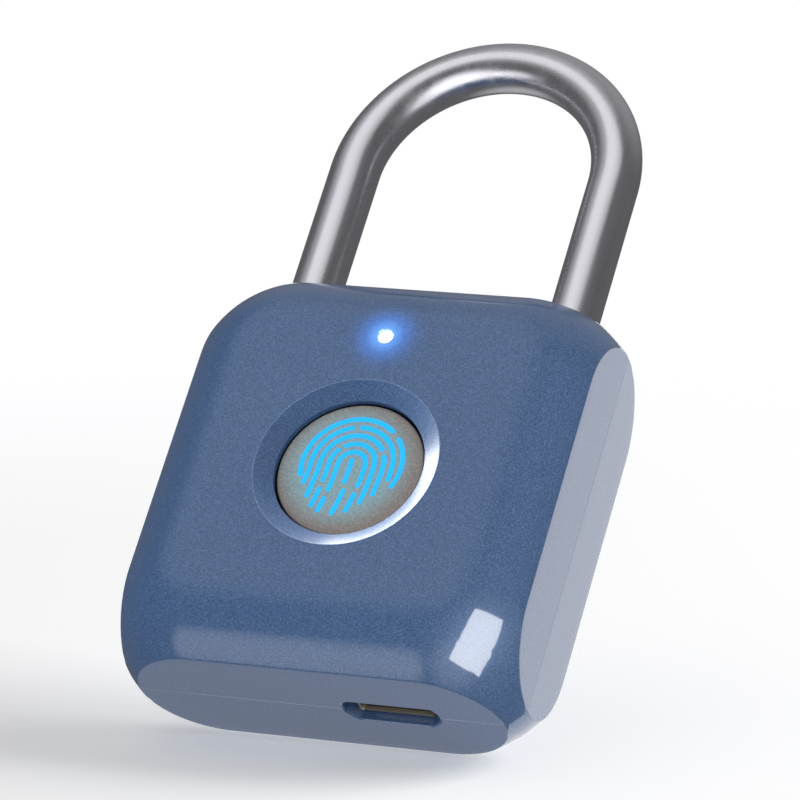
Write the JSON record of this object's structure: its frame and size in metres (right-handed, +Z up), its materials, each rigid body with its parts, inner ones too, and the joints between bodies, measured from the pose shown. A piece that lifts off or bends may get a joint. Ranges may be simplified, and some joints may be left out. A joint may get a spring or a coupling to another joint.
{
  "type": "fingerprint padlock",
  "caption": "Pillow-shaped padlock with a round fingerprint sensor, lit indicator, charging slot underneath and a lifting steel U shackle driven free by a motor bolt.",
  "frame": {"origin": "middle of the bottom face of the lock body, on the parting plane", "axes": "+Z up along the shackle legs, -Y towards the sensor face, +X to the right seen from the front"},
  "size_m": [0.04, 0.02, 0.0755],
  "materials": {
    "body_paint": "metallic flake lacquer on die-cast zinc, satin gloss",
    "polished_steel": "polished hardened steel",
    "steel_hardware": "plain steel",
    "cast_zinc": "bare cast zinc",
    "motor_can": "plated motor can",
    "brass_gear": "machined brass",
    "sensor_window": "satin sensor window with a lit ridge pattern",
    "indicator_lens": "clear lens",
    "circuit_board": "green solder mask",
    "chip_black": "moulded chip case",
    "dark_plastic": "moulded plastic",
    "cream_plastic": "light moulded plastic",
    "seal_rubber": "soft seal rubber",
    "battery_foil": "silver laminate pouch",
    "wire_red": "red wire jacket",
    "wire_black": "black wire jacket"
  },
  "bodies": {
    "lock_body": {"front_shell": "body_paint", "rear_shell": "body_paint", "ejector_spring": "steel_hardware", "case_screw_1": "steel_hardware", "case_screw_2": "steel_hardware", "case_screw_3": "steel_hardware", "case_screw_4": "steel_hardware", "charging_port": "steel_hardware", "lock_chassis": "cast_zinc", "lock_motor": "motor_can", "sensor_disc": "sensor_window", "light_pipe": "indicator_lens", "sensor_board": "circuit_board", "main_board": "circuit_board", "control_chip": "chip_black", "charge_chip": "chip_black", "spring_seat": "dark_plastic", "sensor_holder": "dark_plastic", "port_tongue": "cream_plastic", "status_led": "cream_plastic", "sensor_flex": "cream_plastic", "leg_seal_left": "seal_rubber", "leg_seal_right": "seal_rubber", "seal_top": "seal_rubber", "seal_left": "seal_rubber", "seal_right": "seal_rubber", "sensor_gasket": "seal_rubber", "port_gasket": "seal_rubber", "battery_pad": "seal_rubber", "battery": "battery_foil", "battery_lead_red": "wire_red", "motor_lead_a": "wire_red", "battery_lead_black": "wire_black", "motor_lead_b": "wire_black"},
    "shackle_body": {"shackle": "polished_steel", "shackle_clip": "steel_hardware"},
    "bolt_body": {"locking_bolt": "brass_gear"},
    "pinion_body": {"drive_pinion": "brass_gear"}
  },
  "joints": [
    {"name": "shackle_lift", "type": "slide", "parent": "lock_body", "child": "shackle_body", "axis": [0, 0, 1], "range_m": [0, 0.01], "deforming": ["ejector_spring"]},
    {"name": "bolt_slide", "type": "slide", "parent": "lock_body", "child": "bolt_body", "axis": [1, 0, 0], "range_m": [0, 0.002]},
    {"name": "pinion_turn", "type": "hinge", "parent": "lock_body", "child": "pinion_body", "pos_m": [0.005, 0, 0.031], "axis": [0, 1, 0], "range_deg": [0, 57.3]}
  ],
  "couplings": [
    {"joint": "pinion_turn", "follows": "bolt_slide", "rad_per_m": 500}
  ]
}
